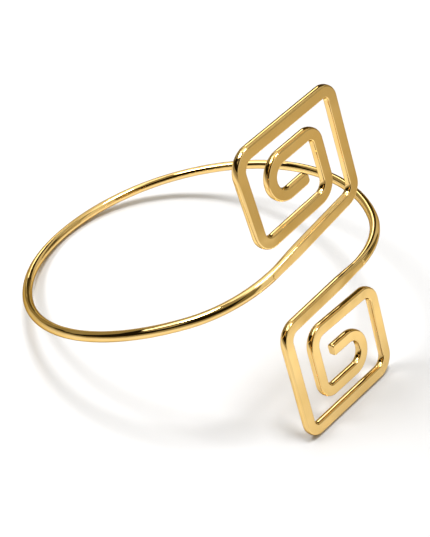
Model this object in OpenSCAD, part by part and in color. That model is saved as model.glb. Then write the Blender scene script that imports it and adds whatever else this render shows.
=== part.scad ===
// Upper arm cuff: one length of brass wire, bent once round the arm.
// The two ends pass each other at the front, where the wire is pressed flat and coiled into a
// square spiral, one above the ring and one below it. The cuff stands as it does on a table, on
// the lower spiral's bottom side and the back of the ring. The floor is z = 0.

/* [Wire] */
// Diameter of the round wire
wire_d = 2.4; // [2:0.1:3]
// Width of the wire where it is pressed flat
flat_w = 2.8; // [2.6:0.1:3.4]
// Thickness of the wire where it is pressed flat
flat_t = 1.7; // [1.4:0.1:2]
// Width across the corners of the flat wire's section
flat_corners = 3.04; // [2.9:0.01:3.2]
// Length over which the round wire becomes flat
press_run = 6; // [3:0.5:12]

/* [Ring] */
// Bend radius at the back of the ring
back_r = 38; // [30:0.5:50]
// Bend radius at the two sides of the ring
side_r = 48; // [40:0.5:60]
// Bend angle of half the back
back_angle = 45; // [40:1:50]
// Bend angle of each side
side_angle = 85.5; // [80:0.5:90]
// Slope at which the wire climbs round the arm, in degrees
climb = 2.8; // [0:0.1:5]

/* [Elbows] */
// Bend radius of the elbow that leads into each spiral
elbow_r = 26.5; // [20:0.5:32]
// Bend angle of the upper elbow
upper_elbow = 48.5; // [44:0.5:52]
// Bend angle of the lower elbow
lower_elbow = 47; // [44:0.5:52]
// Lift of the upper elbow out of the ring, in degrees
upper_lift = 7.5; // [-10:0.5:12]
// Lift of the lower elbow out of the ring, in degrees
lower_lift = -3; // [-10:0.5:12]
// Straight length from the upper elbow to its spiral's first corner
upper_lead = 26.5; // [20:0.5:32]
// Straight length from the lower elbow to its spiral's first corner
lower_lead = 25.3; // [20:0.1:32]
// Turn of the upper spiral's flat face about its lead, in degrees
upper_turn = 93.5; // [85:0.5:100]
// Turn of the lower spiral's flat face about its lead, in degrees
lower_turn = 96.5; // [85:0.5:100]

/* [Spirals] */
// Width of a spiral, between the centre lines of its outer sides
spiral_w = 28.6; // [26:0.1:32]
// Height of a spiral, between its lead and its far side
spiral_h = 25.9; // [24:0.1:30]
// Distance from the lead to the next side inwards
lead_pitch = 5.1; // [4.5:0.1:6]
// Distance between neighbouring upright sides
side_pitch = 6.9; // [5.5:0.1:7.5]
// Distance between neighbouring level sides
level_pitch = 5.7; // [5:0.1:6.5]
// Height of the hook at the middle of the spiral
hook_h = 8.4; // [7:0.1:9]
// Length of the last side, from the hook's corner to its end
hook_end = 9.3; // [7:0.1:11]
// Radius at the corners of the cut end
tip_r = 0.6; // [0.2:0.1:1]
// Angle by which the first corner falls short of square
first_corner_short = 4; // [0:0.5:6]
// Bend radius of the spiral's corners
corner_r = 3.2; // [2.6:0.1:3.6]

/* [Hidden] */
$fn = 64;

// A bend that meets another stretch of the wire is drawn this much thinner than it and starts this
// far inside it, so that no two of their faces nearly touch.
hair = 0.02;
overlap = 0.05;
// Share of a bend between two points taken along the wire
sample = 0.05;

// A frame has x along the wire, y to its left and z up out of the bend. The ring's bends are rows
// of roll about the wire, bend angle and bend radius. The rolls let the ring climb like a coil.
ROLL = 0;
ANGLE = 1;
RADIUS = 2;
function bends(lift, elbow) = [
    [climb * tan(back_angle / 2), back_angle, back_r],
    [climb * (tan(back_angle / 2) + tan(side_angle / 2)), side_angle, side_r],
    [lift, elbow, elbow_r]
];
upper_bends = bends(upper_lift, upper_elbow);
lower_bends = bends(lower_lift, lower_elbow);

// The sides of a spiral, from its lead inwards: length from corner to corner, angle of the corner
// after it, and that corner's bend radius
function sides(lead) = [
    [lead, 90 - first_corner_short, 1.05 * corner_r],
    [spiral_h, 90, 0.8 * corner_r],
    [spiral_w, 90, 1.15 * corner_r],
    [spiral_h - lead_pitch, 90, corner_r],
    [spiral_w - side_pitch, 90, 1.1 * corner_r],
    [spiral_h - lead_pitch - level_pitch, 90, 0.9 * corner_r],
    [spiral_w - 2 * side_pitch, 90, 1.3 * corner_r],
    [hook_h, 90, 1.3 * corner_r],
    [hook_end, 0, 0]
];
LENGTH = 0;
// Length that the corner after a side takes from it
function cut_off(side) = side[RADIUS] * tan(side[ANGLE] / 2);
function straights(lead) =
    let (s = sides(lead))
    [for (i = [0 : len(s) - 1]) s[i][LENGTH] - cut_off(s[i]) - (i == 0 ? 0 : cut_off(s[i - 1]))];

function roll(a) = [[1, 0, 0, 0], [0, cos(a), -sin(a), 0], [0, sin(a), cos(a), 0], [0, 0, 0, 1]];
function turn(a) = [[cos(a), -sin(a), 0, 0], [sin(a), cos(a), 0, 0], [0, 0, 1, 0], [0, 0, 0, 1]];
function shift(x, y) = [[1, 0, 0, x], [0, 1, 0, y], [0, 0, 1, 0], [0, 0, 0, 1]];
function bent(a, r) = shift(0, r) * turn(a) * shift(0, -r);

// Each half leaves the middle of the back, and the lower one is turned over.
start = [
    [0, 1, 0, 0],
    [-cos(climb), 0, sin(climb), 0],
    [sin(climb), 0, cos(climb), 0],
    [0, 0, 0, 1]
];
function rolled(rows, i) =
    (i == 0 ? start : rolled(rows, i - 1) * bent(rows[i - 1][ANGLE], rows[i - 1][RADIUS])) * roll(rows[i][ROLL]);
function spiral_start(rows, face_turn) =
    let (i = len(rows) - 1)
    rolled(rows, i) * bent(rows[i][ANGLE], rows[i][RADIUS]) * roll(face_turn);
upper_spiral = spiral_start(upper_bends, upper_turn);
lower_spiral = spiral_start(lower_bends, lower_turn);

// The frames at the two ends of side i's straight, in the frame of the spiral's start
function side_start(lead, i) =
    i == 0 ? roll(0) : side_end(lead, i - 1) * bent(sides(lead)[i - 1][ANGLE], sides(lead)[i - 1][RADIUS]);
function side_end(lead, i) = side_start(lead, i) * shift(straights(lead)[i], 0);

over = [[1, 0, 0, 0], [0, -1, 0, 0], [0, 0, -1, 0], [0, 0, 0, 1]];
function part_of(v) = [v[0], v[1], v[2]];
function unit(v) = v / norm(v);
function ring_points(rows) = [
    for (i = [0 : len(rows) - 1], k = [0 : sample : 1])
        part_of(rolled(rows, i) * bent(k * rows[i][ANGLE], rows[i][RADIUS]) * [0, 0, 0, 1])
];
function spiral_points(place, lead) = [
    for (i = [0 : len(sides(lead)) - 2], k = [0 : sample : 1])
        part_of(place * side_end(lead, i) * bent(k * sides(lead)[i][ANGLE], sides(lead)[i][RADIUS]) * [0, 0, 0, 1])
];
function turned_over(points) = [for (p = points) [p[0], -p[1], -p[2]]];
upper_ring = ring_points(upper_bends);
lower_ring = turned_over(ring_points(lower_bends));

// The floor touches the back edge of the lower spiral's bottom side, and the part leans back on
// that edge until the ring meets the floor too.
bottom = over * lower_spiral * side_end(lower_lead, 2);
edge_y = min(flat_w, flat_corners) / 2;
edge_z = min(flat_t, sqrt(pow(flat_corners, 2) - pow(2 * edge_y, 2))) / 2;
hinge = part_of(bottom * [0, -edge_y, -edge_z, 1]);
along = part_of(bottom * [1, 0, 0, 0]);
behind = unit(cross([0, 0, 1], along));
above = cross(along, behind);
function slope_to(p) =
    let (d = [(p - hinge) * behind, (p - hinge) * above])
    atan2(d[1], d[0]) - asin(wire_d / 2 / norm(d));
slope = min([for (p = concat(upper_ring, lower_ring)) slope_to(p)]);
front = -cos(slope) * behind - sin(slope) * above;
up = cos(slope) * above - sin(slope) * behind;

// The middle of the part's outline stands over the origin.
all_points = concat(
    upper_ring,
    spiral_points(upper_spiral, upper_lead),
    lower_ring,
    turned_over(spiral_points(lower_spiral, lower_lead))
);
function middle(v) = let (d = [for (p = all_points) p * v]) (min(d) + max(d)) / 2;
stand = [
    [front[0], front[1], front[2], -middle(front)],
    [along[0], along[1], along[2], -middle(along)],
    [up[0], up[1], up[2], -hinge * up],
    [0, 0, 0, 1]
];

module straight(length) {
    rotate([90, 0, 90]) linear_extrude(length) children();
}

// A bend to the left, which also runs on for overlap before its start, and after its end if asked
module curve(angle, radius, both_ends) {
    extra = overlap / radius * 180 / PI;
    translate([0, radius, 0]) rotate([0, 0, -90 - extra])
        rotate_extrude(angle = angle + (both_ends ? 2 : 1) * extra) translate([radius, 0]) children();
}

// The wire pressed between flat jaws, which also square its two sides
module flat_section(less = 0) {
    intersection() {
        square([flat_w - less, flat_t - less], center = true);
        circle(d = flat_corners - less);
    }
}

// The round wire's diameter after a number of joints
function thinned(joints) = wire_d - joints * hair;

// One face of the stretch where the round wire is pressed flat: its outline from the side or from
// above, as thick as flat at its far end
module press_outline(flat) {
    reach = press_run + overlap;
    near = wire_d / 2;
    far = (flat - hair) / 2;
    polygon([[0, near], [reach, far], [2 * reach, far], [2 * reach, -far], [reach, -far], [0, -near]]);
}

// The stretch where the round wire is pressed flat. It runs on into the flat wire.
module press(start_d) {
    length = press_run + 2 * overlap;
    translate([-overlap, 0, 0]) intersection() {
        rotate([0, 90, 0]) cylinder(h = length, d1 = start_d, d2 = flat_corners - hair);
        rotate([90, 0, 0]) linear_extrude(2 * flat_w, center = true) press_outline(flat_t);
        linear_extrude(2 * flat_t, center = true) press_outline(flat_w);
    }
}

// The last side, whose cut end has rounded corners
module end_side(length) {
    intersection() {
        straight(length) flat_section();
        linear_extrude(2 * flat_t, center = true) {
            translate([0, -flat_w]) square([length - tip_r, 2 * flat_w]);
            translate([0, tip_r - flat_w / 2]) square([length, flat_w - 2 * tip_r]);
            for (y = [-1, 1])
                translate([length - tip_r, y * (flat_w / 2 - tip_r)]) circle(tip_r);
        }
    }
}

module spiral(lead, start_d) {
    last = len(sides(lead)) - 1;
    length = straights(lead);
    press(start_d);
    translate([press_run, 0, 0]) straight(length[0] - press_run) flat_section();
    for (i = [1 : last - 1])
        multmatrix(side_start(lead, i)) straight(length[i]) flat_section();
    for (i = [0 : last - 1])
        multmatrix(side_end(lead, i)) curve(sides(lead)[i][ANGLE], sides(lead)[i][RADIUS], true) flat_section(hair);
    multmatrix(side_start(lead, last)) end_side(length[last]);
}

// Half of the cuff, from the middle of the back. The first of its joints is the middle of the back.
module half(rows, place, lead, first_joint) {
    for (i = [0 : len(rows) - 1])
        multmatrix(rolled(rows, i)) curve(rows[i][ANGLE], rows[i][RADIUS], false)
            circle(d = thinned(i + first_joint));
    multmatrix(place) spiral(lead, thinned(len(rows) + first_joint));
}

module cuff() {
    color("gold") multmatrix(stand) {
        half(upper_bends, upper_spiral, upper_lead, 0);
        multmatrix(over) half(lower_bends, lower_spiral, lower_lead, 1);
    }
}

cuff();
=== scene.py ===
# Upper arm cuff: one length of polished brass wire on a pale floor.
# The wire is round where it goes round the arm. Its two ends are pressed flat and coiled into
# square spirals. Each half is drawn from the start of its spiral, and the halves meet at the back.
import math

import bmesh
import bpy
from mathutils import Euler, Matrix, Quaternion, Vector


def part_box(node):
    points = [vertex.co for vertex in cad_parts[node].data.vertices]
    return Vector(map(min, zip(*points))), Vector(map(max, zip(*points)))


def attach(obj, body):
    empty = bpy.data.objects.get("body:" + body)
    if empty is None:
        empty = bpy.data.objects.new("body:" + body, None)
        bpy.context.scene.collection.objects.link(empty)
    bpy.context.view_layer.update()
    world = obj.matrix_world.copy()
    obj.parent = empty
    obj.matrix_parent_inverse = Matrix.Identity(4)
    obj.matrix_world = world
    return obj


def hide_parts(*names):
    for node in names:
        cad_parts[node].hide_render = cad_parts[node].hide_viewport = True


# Blender's unit is the metre, and angles are in degrees unless a line turns them into radians
MM = 0.001

# The wire, and the number of points round its section
AROUND = 64
WIRE_R = 1.2 * MM
FLAT_HALF_WIDTH = 1.4 * MM
FLAT_HALF_THICKNESS = 0.85 * MM
# Half height that the flat wire's oval section would have if its faces were not pressed
OVAL_HALF_HEIGHT = 1.7 * MM
# How far the rounded rim between wall and face reaches down the wall and across the face
RIM = 0.22 * MM
# Least share of a face that is left inside its rims where the press begins
LEAST_FACE = 0.2

# The ring: the wire's slope at the middle of the back, then the bends from there to the spiral,
# which are the back, the side and the elbow
CLIMB = 2.8
BACK_ANGLE = 45
BACK_R = 38 * MM
SIDE_ANGLE = 85.5
SIDE_R = 48 * MM
ELBOW_R = 26.5 * MM
BACK_STEPS = 24
SIDE_STEPS = 48
ELBOW_STEPS = 24
# The two ends: the roll of the wire between side and elbow, the elbow's angle, the roll between
# elbow and spiral, the length of the spiral's first side, and the radius of the cut tip's corners
UPPER = {"lift": 7.5, "elbow": 48.5, "turn": 93.5, "lead": 26.5 * MM, "tip": 1.0 * MM}
LOWER = {"lift": -3, "elbow": 47, "turn": 96.5, "lead": 25.3 * MM, "tip": 0.5 * MM}
# Angle by which each half stops short of the middle of the back, where a bridge joins them
BACK_GAP = 0.5
# Share of the wire's radius within which a point counts as one of the first ring's
REACH = 0.01

# The press, measured from the spiral's start: the first ring of points, the two ends of the jaws'
# rounded edge, and where the wire is fully flat
PRESS_START = -3 * MM
JAW_START = -2.7 * MM
JAW_END = -2.1 * MM
PRESS_END = 6 * MM
JAW_STEPS = 8
PRESS_STEPS = 32
# Rows of the pressed section's quarter: up its wall, round its rim and across its face
WALL_ROWS = 7
RIM_ROWS = 4
FACE_ROWS = 5
# Share of the face inside its outermost row
FACE_EDGE = 0.93
# Depth of the painted dark line, a painted reflection, on the wall's last three rows and the rim's
# first one
PAINTED_REFLECTION_FIRST_ROW = WALL_ROWS - 2
PAINTED_REFLECTION_DEPTHS = (0.5, 1, 1, 0.4)

# The spirals, measured along the middle of the wire: the outer sides, the pitches by which the
# inner ones are shorter, and the two sides of the hook in the centre
SPIRAL_W = 28.6 * MM
SPIRAL_H = 25.9 * MM
LEAD_PITCH = 5.1 * MM
SIDE_PITCH = 6.9 * MM
LEVEL_PITCH = 5.7 * MM
HOOK_H = 8.4 * MM
HOOK_END = 9.55 * MM
# Angle of the first corner, and each corner's share of the usual radius, from the lead to the hook
FIRST_CORNER = 86
CORNER_R = 3.2 * MM
CORNER_SHARES = (1.05, 0.8, 1.15, 1, 1.1, 0.9, 1.3, 1.3)
CORNER_STEPS = 16
# Distance of the extra ring of points that keeps a straight side straight beside a corner
EDGE_RING = 0.3 * MM
# Radius of the cut tip's edges
TIP_EDGE_R = 0.12 * MM
TIP_STEPS = 8

# How the cuff leans on the floor, as turns about X, Y and Z
LEAN = (7.125, -20.695, -2.678)
# Angle between two faces past which the edge between them is drawn sharp
SHARP_ANGLE = 40

# The brass: the two tones it varies between, the brown of the painted dark line along its rims (a
# painted reflection), the tone it takes at grazing angles, and how much of that painted brown shows
BRASS_LIGHT = (0.99, 0.7, 0.295, 1)
BRASS_DEEP = (0.94, 0.64, 0.24, 1)
BRASS_PAINTED_REFLECTION = (0.42, 0.21, 0.04, 1)
BRASS_EDGE = (0.28, 0.2, 0.13, 1)
PAINTED_REFLECTION_STRENGTH = 0.2
# Its roughness, and the heights of its relief
GLOSS_RANGE = (0.02, 0.05)
WAVE_HEIGHT = 0.12 * MM
GRAIN_HEIGHT = 0.0008 * MM
# The noise behind each of these, as cells to the metre and detail, and the range it mostly keeps to
TONE_NOISE = (160, 3)
GLOSS_NOISE = (900, 4)
WAVE_NOISE = (170, 1)
GRAIN_NOISE = (9000, 2)
NOISE_RANGE = (0.3, 0.7)

# The floor, with its tone by the cuff
FLOOR_SIZE = 4
FLOOR_ROUGHNESS = 0.2
FLOOR_IOR = 1.5
FLOOR_NEAR = (0.78, 0.785, 0.81, 1)
# Painted light and shade on the floor: how that tone turns lighter or darker farther off, mostly
# beyond the
# picture, for what the brass reflects: an azimuth, the distances between which it changes and the tone
# it changes to, in order
FLOOR_PAINTED_LIGHT = [
    (130, 0.08, 0.2, (0.92, 0.925, 0.95, 1)),
    (40, 0.06, 0.1, (0.97, 0.97, 0.99, 1)),
    (40, 0.09, 0.19, (0.46, 0.405, 0.285, 1)),
    (40, 0.19, 0.34, (0.62, 0.55, 0.41, 1)),
    (130, 0.28, 0.8, (0.55, 0.53, 0.49, 1)),
    (-80, 0.088, 0.16, (0.45, 0.42, 0.37, 1)),
]

# The camera: the point it looks at, where it stands as seen from there, its roll, its lens in
# millimetres and the nearest distance at which it sees
CAMERA_AIM = Vector((9.045, -6.809, 21.343)) * MM
CAMERA_DISTANCE = 238.66 * MM
CAMERA_AZIMUTH = -49.01
CAMERA_ELEVATION = 41.18
CAMERA_ROLL = 1.137
CAMERA_LENS = 46.672
CAMERA_NEAR = 10 * MM

# The studio: the dark room's tone, and panels as azimuth, half width, lower and upper edge,
# softness of the edges and brightness, with later panels over earlier ones
ROOM_TONE = 0.012
PANELS = [
    (0, 180, 66, 90, 6, 1.4),
    (-90, 70, 58, 76, 6, 0.3),
    (0, 180, -10, 3, 2, 0.3),
    (-12, 12, 0, 60, 3, 0.2),
    (15, 16, 0, 60, 3, 0.75),
    (46, 14, 0, 60, 3, 0.3),
    (72, 11, 0, 24, 2, 0.15),
    (97, 12, 0, 70, 2, 0.65),
    (62, 10, 34, 64, 3, 0.6),
    (39, 5, 8, 40, 3, 0.45),
    (135, 18, 42, 80, 3, 0.8),
    (167, 14, 42, 80, 3, 1.6),
    (135, 16, 0, 8, 2, 0.12),
    (166, 12, 0, 28, 3, 0.32),
    (166, 12, 30, 42, 2, 0.85),
    (130, 12, 10, 34, 3, 0.06),
    (152, 4, 8, 42, 3, 0.8),
    (144.5, 4, 29, 42, 2, 0.5),
    (144.5, 4, 16, 26, 2, 3.0),
    (-172, 12, 12, 28, 3, 0.3),
    (-162, 19, 38, 50, 2, 3.0),
    (-112, 14, 32, 44, 3, 0.4),
    (-55, 33, 0, 8, 2, 0.3),
]
# Powers of its brightness by which a dim panel's red, green and blue fall
DIM_WARMTH = (0, 0.08, 0.4)
# Lamps as azimuth, elevation, distance, size, power in watts, and whether the brass reflects them
LAMPS = [
    (215, 58, 0.7, 0.2, 2.15, True),
    (120, 84, 0.7, 0.18, 2.3, True),
    (-60, 80, 1.0, 1.2, 0.9, False),
]

# Places of a Mix node's colour sockets, whose names its other kinds of socket share
MIX_FIRST = 6
MIX_SECOND = 7
MIX_RESULT = 2


def towards(azimuth, elevation):
    azimuth = math.radians(azimuth)
    elevation = math.radians(elevation)
    return Vector((
        math.cos(elevation) * math.cos(azimuth),
        math.cos(elevation) * math.sin(azimuth),
        math.sin(elevation),
    ))


# A frame travels with its X axis along the wire, and a bend's centre is on its Y axis
def roll(angle):
    return Matrix.Rotation(math.radians(angle), 4, "X")


def bend(angle, radius):
    centre = Matrix.Translation((0, radius, 0))
    return centre @ Matrix.Rotation(math.radians(angle), 4, "Z") @ centre.inverted()


def forward(length):
    return Matrix.Translation((length, 0, 0))


def draw_out(frame, length):
    """Extrude the open end of the wire straight on, and return the frame at its new end."""
    bpy.ops.mesh.extrude_region_move(
        TRANSFORM_OT_translate={"value": frame.to_3x3() @ Vector((length, 0, 0))}
    )
    return frame @ forward(length)


def draw_side(frame, length):
    """Draw out a straight side, and return the frame at its end."""
    edge = min(EDGE_RING, length / 3)
    for part in (edge, length - 2 * edge, edge):
        frame = draw_out(frame, part)
    return frame


def bend_wire(frame, angle, radius, steps):
    """Spin the open end of the wire round a bend, and return the frame at its new end."""
    bpy.ops.mesh.spin(
        steps=steps,
        angle=math.radians(angle),
        center=frame @ Vector((0, radius, 0)),
        axis=frame.to_3x3() @ Vector((0, 0, -1)),
    )
    return frame @ bend(angle, radius)


def scale_end(wire, frame, width, thickness):
    """Scale the open end of the wire across itself."""
    mesh = bmesh.from_edit_mesh(wire.data)
    ring = [vertex for vertex in mesh.verts if vertex.select]
    bmesh.ops.scale(mesh, vec=(1, width, thickness), space=frame.inverted(), verts=ring)
    bmesh.update_edit_mesh(wire.data)


def on_oval(half_width, half_height, angle):
    return Vector((half_width * math.cos(angle), half_height * math.sin(angle), 0))


def round_quarter():
    """A quarter of the round section."""
    rows = AROUND // 4
    return [on_oval(WIRE_R, WIRE_R, math.radians(90 * row / rows)) for row in range(rows + 1)]


def pressed_quarter(half_width, half_height, face_height):
    """A quarter of the pressed section: up the wall, round the rim and across the face. A point's
    third value is the depth of the painted dark line, a painted reflection, there."""
    corner = Vector((half_width * math.sqrt(1 - (face_height / half_height) ** 2), face_height, 0))
    wall_top = math.asin((face_height - RIM) / half_height)
    points = []
    for row in range(WALL_ROWS + 1):
        points.append(on_oval(half_width, half_height, wall_top * row / WALL_ROWS))
    wall_end = points[-1]
    face_end = Vector((max(LEAST_FACE * corner.x, corner.x - RIM), face_height, 0))
    for row in range(1, RIM_ROWS + 1):
        share = row / RIM_ROWS
        points.append(wall_end.lerp(corner, share).lerp(corner.lerp(face_end, share), share))
    # Depth of the painted dark line, a painted reflection, on the wall's last rows and the rim's first
    for row, depth in enumerate(PAINTED_REFLECTION_DEPTHS, PAINTED_REFLECTION_FIRST_ROW):
        points[row].z = depth
    outermost = FACE_EDGE * face_end.x
    for row in range(1, FACE_ROWS + 1):
        points.append(Vector((outermost * (FACE_ROWS - row) / (FACE_ROWS - 1), face_height, 0)))
    return points


def full_outline(upper, lower):
    """The whole section, from a quarter for its upper half and one for its lower half."""
    outline = upper + [Vector((-point.x, point.y, point.z)) for point in reversed(upper[:-1])]
    outline += [Vector((-point.x, -point.y, point.z)) for point in lower[1:]]
    outline += [Vector((point.x, -point.y, point.z)) for point in reversed(lower[1:-1])]
    return outline


def draw_section(wire, before, after, outline):
    """Extrude the open end from one frame to the next, and set it on an outline."""
    bpy.ops.mesh.extrude_region_move()
    mesh = bmesh.from_edit_mesh(wire.data)
    # Layer that holds the depth of the painted dark line, a painted reflection, along the rims
    painted_line_layer = mesh.verts.layers.float["rim"]
    to_local = before.inverted()
    half_step = math.pi / AROUND

    def angle(vertex):
        local = to_local @ vertex.co
        return (math.atan2(local.z, local.y) + half_step) % math.tau

    ring = sorted((vertex for vertex in mesh.verts if vertex.select), key=angle)
    for vertex, point in zip(ring, outline):
        vertex.co = after @ Vector((0, point.x, point.y))
        vertex[painted_line_layer] = point.z
    bmesh.update_edit_mesh(wire.data)


def press_frame(sizes, station):
    """The frame along the press: on the elbow before the spiral's start, and straight after it."""
    if station >= 0:
        return forward(station)
    turned = math.degrees(station / ELBOW_R)
    return roll(-sizes["turn"]) @ bend(turned, ELBOW_R) @ roll(sizes["turn"])


def spaced(start, end, steps):
    """Evenly spaced stations, from the first one after the start to the end."""
    return [start + (end - start) * step / steps for step in range(1, steps + 1)]


def ease(share):
    return share * share * (3 - 2 * share)


def press(wire, sizes):
    """Draw out the stretch where the round wire is pressed flat, and return the frame at its end.
    On the elbow the wire falls away below the level of the jaws, and the faces stay level."""
    stations = [JAW_START]
    stations += spaced(JAW_START, JAW_END, JAW_STEPS)
    stations += spaced(JAW_END, PRESS_END, PRESS_STEPS)
    unpressed = full_outline(round_quarter(), round_quarter())
    before = press_frame(sizes, PRESS_START)
    for station in stations:
        after = press_frame(sizes, station)
        along = max(0, station / PRESS_END)
        half_width = WIRE_R + (FLAT_HALF_WIDTH - WIRE_R) * along
        half_height = WIRE_R + (OVAL_HALF_HEIGHT - WIRE_R) * along
        fallen = -after.translation.z
        pressed = full_outline(
            pressed_quarter(half_width, half_height, FLAT_HALF_THICKNESS + fallen),
            pressed_quarter(half_width, half_height, FLAT_HALF_THICKNESS - fallen),
        )
        share = ease(min(1, (station - JAW_START) / (JAW_END - JAW_START)))
        draw_section(wire, before, after, [a.lerp(b, share) for a, b in zip(unpressed, pressed)])
        before = after
    return after


def rounded_by(radius, along):
    """How far a quarter circle has come in, so far along it."""
    return radius - math.sqrt(max(0, radius**2 - along**2))


def tip(wire, frame, corner_r):
    """Draw out the cut end, with round corners and edges, and close it."""
    width = thickness = 1
    reached = 0
    for step in range(1, TIP_STEPS + 1):
        along = corner_r * math.sin(math.radians(90 * step / TIP_STEPS))
        past = max(0, along - (corner_r - TIP_EDGE_R))
        new_width = 1 - rounded_by(corner_r, along) / FLAT_HALF_WIDTH
        new_thickness = 1 - rounded_by(TIP_EDGE_R, past) / FLAT_HALF_THICKNESS
        frame = draw_out(frame, along - reached)
        scale_end(wire, frame, new_width / width, new_thickness / thickness)
        reached, width, thickness = along, new_width, new_thickness
    bpy.ops.mesh.edge_face_add()


def spiral(wire, sizes):
    """Draw out a spiral from the press to its cut tip."""
    lengths = [
        sizes["lead"],
        SPIRAL_H,
        SPIRAL_W,
        SPIRAL_H - LEAD_PITCH,
        SPIRAL_W - SIDE_PITCH,
        SPIRAL_H - LEAD_PITCH - LEVEL_PITCH,
        SPIRAL_W - 2 * SIDE_PITCH,
        HOOK_H,
    ]
    angles = [FIRST_CORNER] + [90] * (len(lengths) - 1)
    frame = press(wire, sizes)
    taken = PRESS_END
    for length, angle, share in zip(lengths, angles, CORNER_SHARES):
        radius = share * CORNER_R
        cut_off = radius * math.tan(math.radians(angle) / 2)
        frame = draw_side(frame, length - taken - cut_off)
        frame = bend_wire(frame, angle, radius, CORNER_STEPS)
        taken = cut_off
    frame = draw_side(frame, HOOK_END - sizes["tip"] - taken)
    tip(wire, frame, sizes["tip"])


def select_first_ring(wire, start):
    """Select the open ring of points that the wire was drawn out from."""
    bpy.ops.mesh.select_all(action="DESELECT")
    mesh = bmesh.from_edit_mesh(wire.data)
    to_start = start.inverted()
    for vertex in mesh.verts:
        local = to_start @ vertex.co
        vertex.select = local.length < (1 + REACH) * WIRE_R and abs(local.x) < REACH * WIRE_R
    mesh.select_flush_mode()
    bmesh.update_edit_mesh(wire.data)


def half(name, sizes):
    """Draw one half of the cuff with its spiral's start at the origin. Returns the wire, and the
    frame at the middle of the back."""
    start = press_frame(sizes, PRESS_START)
    bpy.ops.mesh.primitive_circle_add(vertices=AROUND, radius=WIRE_R)
    wire = bpy.context.object
    wire.name = name
    wire.matrix_world = start @ Matrix.Rotation(math.radians(90), 4, "Y")
    bpy.ops.object.transform_apply(location=True, rotation=True, scale=False)
    # Attribute for the painted dark line along the rims, a painted reflection
    wire.data.attributes.new("rim", "FLOAT", "POINT")
    bpy.ops.object.mode_set(mode="EDIT")
    bpy.ops.mesh.select_all(action="SELECT")
    spiral(wire, sizes)

    select_first_ring(wire, start)
    back_roll = CLIMB * math.tan(math.radians(BACK_ANGLE / 2))
    side_roll = back_roll + CLIMB * math.tan(math.radians(SIDE_ANGLE / 2))
    pressed = math.degrees(-PRESS_START / ELBOW_R)
    frame = roll(-sizes["turn"]) @ bend(-pressed, ELBOW_R)
    frame = bend_wire(frame, pressed - sizes["elbow"], ELBOW_R, ELBOW_STEPS) @ roll(-sizes["lift"])
    frame = bend_wire(frame, -SIDE_ANGLE, SIDE_R, SIDE_STEPS) @ roll(-side_roll)
    bend_wire(frame, BACK_GAP - BACK_ANGLE, BACK_R, BACK_STEPS)
    frame = frame @ bend(-BACK_ANGLE, BACK_R) @ roll(-back_roll)
    bpy.ops.object.mode_set(mode="OBJECT")
    return wire, frame


def select_only(*chosen):
    """Select these objects alone, and make the first of them active."""
    bpy.ops.object.select_all(action="DESELECT")
    for thing in chosen:
        thing.select_set(True)
    bpy.context.view_layer.objects.active = chosen[0]


def build_cuff():
    """Draw the two halves, put them together at the middle of the back and join them there."""
    climb = math.radians(CLIMB)
    back = Matrix((
        (0, 1, 0, 0),
        (-math.cos(climb), 0, math.sin(climb), 0),
        (math.sin(climb), 0, math.cos(climb), 0),
        (0, 0, 0, 1),
    ))
    lean = Euler([math.radians(angle) for angle in LEAN]).to_matrix().to_4x4()
    over = Matrix.Rotation(math.pi, 4, "X")
    upper, upper_back = half("cuff_wire", UPPER)
    lower, lower_back = half("lower_half", LOWER)
    upper.matrix_world = lean @ back @ upper_back.inverted()
    lower.matrix_world = lean @ over @ back @ lower_back.inverted()
    select_only(upper, lower)
    bpy.ops.object.transform_apply(location=True, rotation=True, scale=True)
    bpy.ops.object.join()
    bpy.ops.object.mode_set(mode="EDIT")
    bpy.ops.mesh.select_all(action="DESELECT")
    bpy.ops.mesh.select_mode(type="EDGE")
    bpy.ops.mesh.select_non_manifold()
    bpy.ops.mesh.bridge_edge_loops()
    bpy.ops.mesh.select_mode(type="VERT")
    bpy.ops.mesh.select_all(action="SELECT")
    bpy.ops.mesh.normals_make_consistent(inside=False)
    bpy.ops.object.mode_set(mode="OBJECT")
    bpy.ops.object.shade_smooth_by_angle(angle=math.radians(SHARP_ANGLE))
    return upper


def set_down(cuff):
    """Move the cuff so that its box stands where the CAD node's does."""
    low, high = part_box("cuff")
    corners = [vertex.co for vertex in cuff.data.vertices]
    lowest = Vector([min(corner[axis] for corner in corners) for axis in range(3)])
    highest = Vector([max(corner[axis] for corner in corners) for axis in range(3)])
    move = (low + high - lowest - highest) / 2
    move.z = low.z - lowest.z
    cuff.location = move
    select_only(cuff)
    bpy.ops.object.transform_apply(location=True, rotation=False, scale=False)


def cloud(nodes, links, place, cells, detail):
    """A noise pattern on the brass, with so many cells to the metre."""
    noise = nodes.new("ShaderNodeTexNoise")
    noise.inputs["Scale"].default_value = cells
    noise.inputs["Detail"].default_value = detail
    links.new(place, noise.inputs["Vector"])
    return noise.outputs["Fac"]


def remap(nodes, links, value, source, target, interpolation="LINEAR"):
    """Bring a value from the source range to the target range."""
    node = nodes.new("ShaderNodeMapRange")
    node.interpolation_type = interpolation
    for name, bound in zip(("From Min", "From Max", "To Min", "To Max"), source + target):
        node.inputs[name].default_value = bound
    links.new(value, node.inputs["Value"])
    return node.outputs["Result"]


def soft_step(nodes, links, value, start, end):
    """0 where the value is at start, 1 where it is at end, and smooth between the two."""
    return remap(nodes, links, value, (start, end), (0, 1), "SMOOTHSTEP")


def tint(nodes, links, factor, first, second):
    """Mix two colours, or a colour's socket and a colour."""
    blend = nodes.new("ShaderNodeMix")
    blend.data_type = "RGBA"
    links.new(factor, blend.inputs["Factor"])
    if isinstance(first, tuple):
        blend.inputs[MIX_FIRST].default_value = first
    else:
        links.new(first, blend.inputs[MIX_FIRST])
    blend.inputs[MIX_SECOND].default_value = second
    return blend.outputs[MIX_RESULT]


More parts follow.
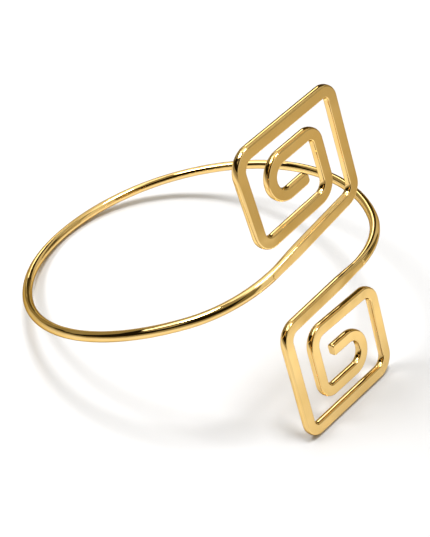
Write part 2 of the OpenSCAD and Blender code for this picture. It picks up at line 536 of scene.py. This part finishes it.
def relief(nodes, links, pattern, height):
    bump = nodes.new("ShaderNodeBump")
    bump.inputs["Distance"].default_value = height
    bump.inputs["Strength"].default_value = 1
    links.new(pattern, bump.inputs["Height"])
    return bump


def math_node(nodes, links, operation, *values):
    node = nodes.new("ShaderNodeMath")
    node.operation = operation
    for value, socket in zip(values, node.inputs):
        links.new(value, socket)
    return node.outputs["Value"]


def brass():
    """Polished brass: a warm tone that varies a little, a painted dark line along the pressed rims
    that stands in for a dark reflection, faint waves left by the polishing wheel and a very fine
    grain."""
    material = bpy.data.materials.new("polished_brass")
    material.use_nodes = True
    nodes = material.node_tree.nodes
    links = material.node_tree.links
    shader = nodes["Principled BSDF"]
    shader.inputs["Metallic"].default_value = 1
    shader.inputs["Specular Tint"].default_value = BRASS_EDGE
    place = nodes.new("ShaderNodeTexCoord").outputs["Object"]
    rim = nodes.new("ShaderNodeAttribute")
    rim.attribute_name = "rim"

    patches = remap(nodes, links, cloud(nodes, links, place, *TONE_NOISE), NOISE_RANGE, (0, 1))
    tone = tint(nodes, links, patches, BRASS_LIGHT, BRASS_DEEP)
    # Painted reflection: the base colour turns brown along the rims where the attribute marks the
    # painted dark line
    painted_line_share = remap(nodes, links, rim.outputs["Fac"], (0, 1), (0, PAINTED_REFLECTION_STRENGTH))
    tone = tint(nodes, links, painted_line_share, tone, BRASS_PAINTED_REFLECTION)
    links.new(tone, shader.inputs["Base Color"])

    gloss = remap(nodes, links, cloud(nodes, links, place, *GLOSS_NOISE), NOISE_RANGE, GLOSS_RANGE)
    links.new(gloss, shader.inputs["Roughness"])

    waves = relief(nodes, links, cloud(nodes, links, place, *WAVE_NOISE), WAVE_HEIGHT)
    grain = relief(nodes, links, cloud(nodes, links, place, *GRAIN_NOISE), GRAIN_HEIGHT)
    links.new(waves.outputs["Normal"], grain.inputs["Normal"])
    links.new(grain.outputs["Normal"], shader.inputs["Normal"])
    return material


def floor():
    bpy.ops.mesh.primitive_plane_add(size=FLOOR_SIZE)
    plane = bpy.context.object
    plane.name = "floor"
    material = bpy.data.materials.new("pale_floor")
    material.use_nodes = True
    nodes = material.node_tree.nodes
    links = material.node_tree.links
    shader = nodes["Principled BSDF"]
    shader.inputs["Roughness"].default_value = FLOOR_ROUGHNESS
    shader.inputs["IOR"].default_value = FLOOR_IOR
    place = nodes.new("ShaderNodeTexCoord").outputs["Object"]
    tone = FLOOR_NEAR
    # Painted light and shade: the floor's tone fades lighter or darker with distance along each
    # azimuth
    for azimuth, start, end, painted_tone in FLOOR_PAINTED_LIGHT:
        distance = nodes.new("ShaderNodeVectorMath")
        distance.operation = "DOT_PRODUCT"
        distance.inputs[1].default_value = towards(azimuth, 0)
        links.new(place, distance.inputs[0])
        fade = soft_step(nodes, links, distance.outputs["Value"], start, end)
        tone = tint(nodes, links, fade, tone, painted_tone)
    links.new(tone, shader.inputs["Base Color"])
    plane.data.materials.append(material)


def camera():
    side = towards(CAMERA_AZIMUTH, CAMERA_ELEVATION)
    bpy.ops.object.camera_add(location=CAMERA_AIM + side * CAMERA_DISTANCE)
    eye = bpy.context.object
    turn = (-side).to_track_quat("-Z", "Y") @ Quaternion((0, 0, 1), math.radians(CAMERA_ROLL))
    eye.rotation_euler = turn.to_euler()
    eye.data.sensor_fit = "VERTICAL"
    eye.data.lens = CAMERA_LENS
    eye.data.clip_start = CAMERA_NEAR
    bpy.context.scene.camera = eye


def softbox(nodes, links, direction, azimuth, half_width, low, high, edge):
    """A soft-edged panel on the studio's walls: 1 on it and 0 outside it."""
    turned = nodes.new("ShaderNodeVectorRotate")
    turned.rotation_type = "Z_AXIS"
    turned.inputs["Angle"].default_value = -math.radians(azimuth)
    links.new(direction, turned.inputs["Vector"])
    split = nodes.new("ShaderNodeSeparateXYZ")
    links.new(turned.outputs["Vector"], split.inputs["Vector"])
    x, y, z = split.outputs
    across = math_node(nodes, links, "ABSOLUTE", math_node(nodes, links, "ARCTAN2", y, x))
    height = math_node(nodes, links, "ARCSINE", z)
    half_width, low, high, edge = (math.radians(value) for value in (half_width, low, high, edge))
    sides = soft_step(nodes, links, across, half_width + edge, half_width)
    bottom = soft_step(nodes, links, height, low - edge, low)
    top = soft_step(nodes, links, height, high + edge, high)
    return math_node(nodes, links, "MULTIPLY", math_node(nodes, links, "MULTIPLY", sides, bottom), top)


def glow(brightness):
    """The colour of a panel: white where it is bright, and warmer the dimmer it is."""
    return tuple(brightness * min(1, brightness) ** power for power in DIM_WARMTH) + (1,)


def studio():
    """A dark room with bright panels round and over the cuff."""
    world = bpy.data.worlds.new("studio")
    bpy.context.scene.world = world
    world.use_nodes = True
    nodes = world.node_tree.nodes
    links = world.node_tree.links
    direction = nodes.new("ShaderNodeTexCoord").outputs["Generated"]
    shade = glow(ROOM_TONE)
    for azimuth, half_width, low, high, edge, brightness in PANELS:
        panel = softbox(nodes, links, direction, azimuth, half_width, low, high, edge)
        shade = tint(nodes, links, panel, shade, glow(brightness))
    links.new(shade, nodes["Background"].inputs["Color"])


def lamps():
    for azimuth, elevation, distance, size, power, reflected in LAMPS:
        side = towards(azimuth, elevation)
        bpy.ops.object.light_add(type="AREA", location=side * distance)
        lamp = bpy.context.object
        lamp.rotation_euler = (-side).to_track_quat("-Z", "Y").to_euler()
        lamp.data.shape = "DISK"
        lamp.data.size = size
        lamp.data.energy = power
        lamp.visible_glossy = reflected


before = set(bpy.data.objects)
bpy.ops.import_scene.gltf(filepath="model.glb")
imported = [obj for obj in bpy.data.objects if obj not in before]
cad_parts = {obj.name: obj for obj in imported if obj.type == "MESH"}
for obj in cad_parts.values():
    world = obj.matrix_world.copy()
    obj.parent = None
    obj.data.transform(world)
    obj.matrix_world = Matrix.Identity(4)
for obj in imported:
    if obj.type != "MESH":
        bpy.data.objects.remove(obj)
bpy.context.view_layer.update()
bpy.context.scene.view_settings.view_transform = "Standard"
camera()
floor()
studio()
lamps()
cuff = build_cuff()
set_down(cuff)
cuff.data.materials.append(brass())
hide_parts("cuff")
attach(cuff, "root")
